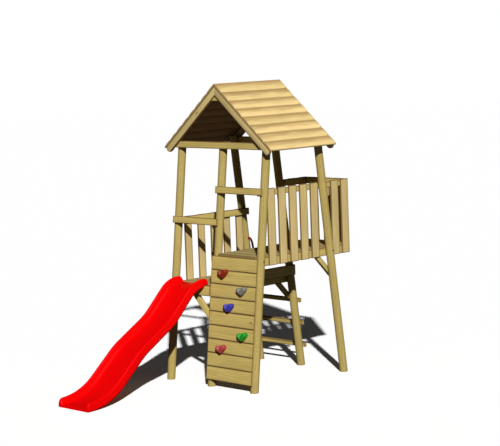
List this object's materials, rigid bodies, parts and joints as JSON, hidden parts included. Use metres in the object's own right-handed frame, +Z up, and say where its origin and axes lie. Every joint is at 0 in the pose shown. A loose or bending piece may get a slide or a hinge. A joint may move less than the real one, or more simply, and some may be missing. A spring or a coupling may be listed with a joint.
{
  "type": "stilt playhouse",
  "caption": "Timber play tower on leaning round posts with a gable roof, two decks, balcony, climbing wall, ladder and red wave slide.",
  "frame": {"origin": "on the ground, under the middle of the whole object's bounding box", "axes": "+Z up, +X along the front from the slide to the climbing wall, +Y from the slide's foot to the balcony"},
  "size_m": [1.7478, 3.4864, 3.4625],
  "materials": {
    "post_wood": "rough sawn",
    "board_wood": "rough sawn",
    "fence_wood": "rough sawn",
    "roof_wood": "planed",
    "slide_plastic": "gloss",
    "hold_brown_resin": "satin",
    "hold_grey_resin": "satin",
    "hold_blue_resin": "satin",
    "hold_green_resin": "satin",
    "hold_red_resin": "satin",
    "zinc_steel": "zinc plated"
  },
  "bodies": {
    "root": {"brace_back_middle": "board_wood", "brace_back_right": "board_wood", "brace_front_middle": "board_wood", "climbing_board_1": "board_wood", "climbing_board_2": "board_wood", "climbing_board_3": "board_wood", "climbing_board_4": "board_wood", "climbing_board_5": "board_wood", "climbing_board_6": "board_wood", "climbing_board_7": "board_wood", "climbing_board_8": "board_wood", "climbing_board_9": "board_wood", "fence_balcony": "fence_wood", "fence_left": "fence_wood", "fence_right": "fence_wood", "front_rail_lower": "board_wood", "front_rail_upper": "board_wood", "gable_gusset": "board_wood", "handle_left": "slide_plastic", "handle_right": "slide_plastic", "hold_blue": "hold_blue_resin", "hold_brown": "hold_brown_resin", "hold_green": "hold_green_resin", "hold_grey": "hold_grey_resin", "hold_red": "hold_red_resin", "ladder_rung_1": "board_wood", "ladder_rung_2": "board_wood", "ladder_rung_3": "board_wood", "lower_deck": "board_wood", "post_back_left": "post_wood", "post_back_middle": "post_wood", "post_back_right": "post_wood", "post_front_left": "post_wood", "post_front_middle": "post_wood", "post_front_right": "post_wood", "rafter_back_left": "board_wood", "rafter_back_right": "board_wood", "rafter_front_left": "board_wood", "rafter_front_right": "board_wood", "riser_board": "board_wood", "roof_board_left_1": "roof_wood", "roof_board_left_2": "roof_wood", "roof_board_left_3": "roof_wood", "roof_board_left_4": "roof_wood", "roof_board_left_5": "roof_wood", "roof_board_left_6": "roof_wood", "roof_board_left_7": "roof_wood", "roof_board_left_8": "roof_wood", "roof_board_right_1": "roof_wood", "roof_board_right_2": "roof_wood", "roof_board_right_3": "roof_wood", "roof_board_right_4": "roof_wood", "roof_board_right_5": "roof_wood", "roof_board_right_6": "roof_wood", "roof_board_right_7": "roof_wood", "roof_board_right_8": "roof_wood", "slide": "slide_plastic", "tie_beam_back": "board_wood", "tie_beam_front": "board_wood", "upper_deck": "board_wood"}
  },
  "joints": []
}
